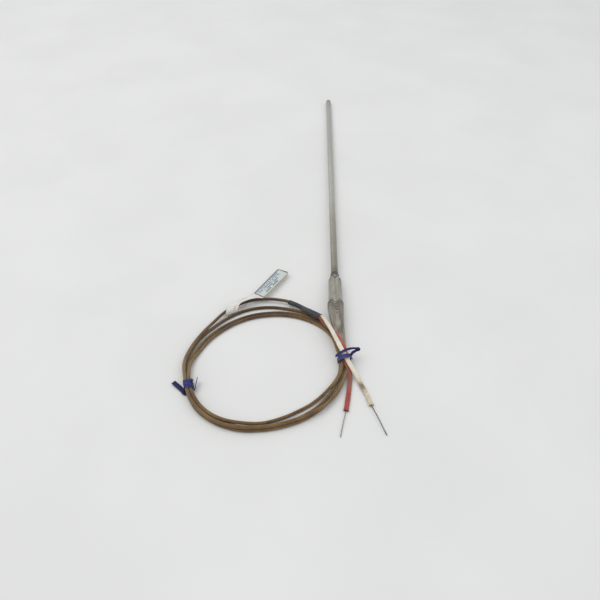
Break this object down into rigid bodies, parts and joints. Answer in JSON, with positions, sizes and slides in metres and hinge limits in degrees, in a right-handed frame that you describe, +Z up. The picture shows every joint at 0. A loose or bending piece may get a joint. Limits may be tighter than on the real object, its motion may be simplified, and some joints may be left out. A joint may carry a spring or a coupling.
{
  "type": "thermocouple",
  "caption": "Metal-sheathed thermocouple probe with a boot-covered transition, coiled braided cable, bare-ended sleeved leads, twist ties and a looped flag label.",
  "frame": {"origin": "the small flat pole at the outer end of the sheath's welded tip", "axes": "+Y along the probe towards its tip, +Z up from the surface the coil lies on (that surface is 3.2 mm below the origin), +X to the lead side"},
  "size_m": [0.1627, 0.5423, 0.0145],
  "materials": {
    "stainless_steel": "drawn, dull, heat-tinted towards the transition",
    "weld_metal": "fused weld dome",
    "magnesia": "packed powder, matt",
    "junction_bead": "fused bead",
    "iron_wire": "dark oxidised iron",
    "constantan_wire": "dull copper-nickel alloy",
    "potting_cement": "rough cement",
    "splice_metal": "plated crimp",
    "grey_shrink": "wrinkled heat-shrink",
    "brown_glass_braid": "golden brown glass braid",
    "white_glass_braid": "cream glass braid, stained",
    "red_glass_braid": "faded red glass braid",
    "black_shrink": "lumpy satin heat-shrink",
    "tie_ribbon": "blue-violet ribbon",
    "tie_wire": "soft steel wire",
    "label_strip": "self-adhesive film strip, off-white",
    "label_print": null
  },
  "bodies": {
    "cable": {"cable_jacket": "brown_glass_braid", "positive_insulation": "white_glass_braid", "negative_insulation": "red_glass_braid", "positive_conductor": "iron_wire", "negative_conductor": "constantan_wire", "breakout_sleeve": "black_shrink", "right_tie_ribbon": "tie_ribbon", "right_tie_wire": "tie_wire"},
    "probe": {"tip_weld_cap": "weld_metal", "sheath_tube": "stainless_steel", "mgo_insulation": "magnesia", "hot_junction_bead": "junction_bead", "thermoelement_positive": "iron_wire", "thermoelement_negative": "constantan_wire", "transition_barrel": "stainless_steel", "potting_plug": "potting_cement", "splice_positive": "splice_metal", "splice_negative": "splice_metal", "splice_sleeve_positive": "magnesia", "splice_sleeve_negative": "magnesia", "front_boot": "grey_shrink", "rear_boot": "grey_shrink"},
    "positive_lead": {"positive_lead_sleeve": "white_glass_braid"},
    "negative_lead": {"negative_lead_sleeve": "red_glass_braid"},
    "tag": {"tag_strip": "label_strip", "tag_label": "label_print"},
    "left_tie": {"left_tie_ribbon": "tie_ribbon", "left_tie_wire": "tie_wire"}
  },
  "joints": [
    {"name": "probe_flex", "type": "hinge", "parent": "cable", "child": "probe", "pos_m": [0.0042, -0.466, 0], "axis": [0, 0, 1], "range_deg": [-10, 4], "deforming": ["rear_boot", "cable_jacket", "positive_insulation", "negative_insulation", "positive_conductor", "negative_conductor"]},
    {"name": "positive_lead_flex", "type": "hinge", "parent": "cable", "child": "positive_lead", "pos_m": [0.0075, -0.4725, 0], "axis": [0, 0, 1], "range_deg": [-6, 16], "deforming": ["positive_lead_sleeve", "positive_insulation", "positive_conductor"]},
    {"name": "negative_lead_flex", "type": "hinge", "parent": "cable", "child": "negative_lead", "pos_m": [0.0066, -0.475, 0], "axis": [0, 0, 1], "range_deg": [-8, 5], "deforming": ["negative_lead_sleeve", "negative_insulation", "negative_conductor"]},
    {"name": "tag_swing", "type": "hinge", "parent": "cable", "child": "tag", "pos_m": [-0.09, -0.41004, 0.0002], "axis": [0.908, 0.419, 0], "range_deg": [0, 20]},
    {"name": "left_tie_slide", "type": "slide", "parent": "cable", "child": "left_tie", "axis": [-0.3104, 0.9506, 0], "range_m": [-0.002, 0.002]}
  ]
}
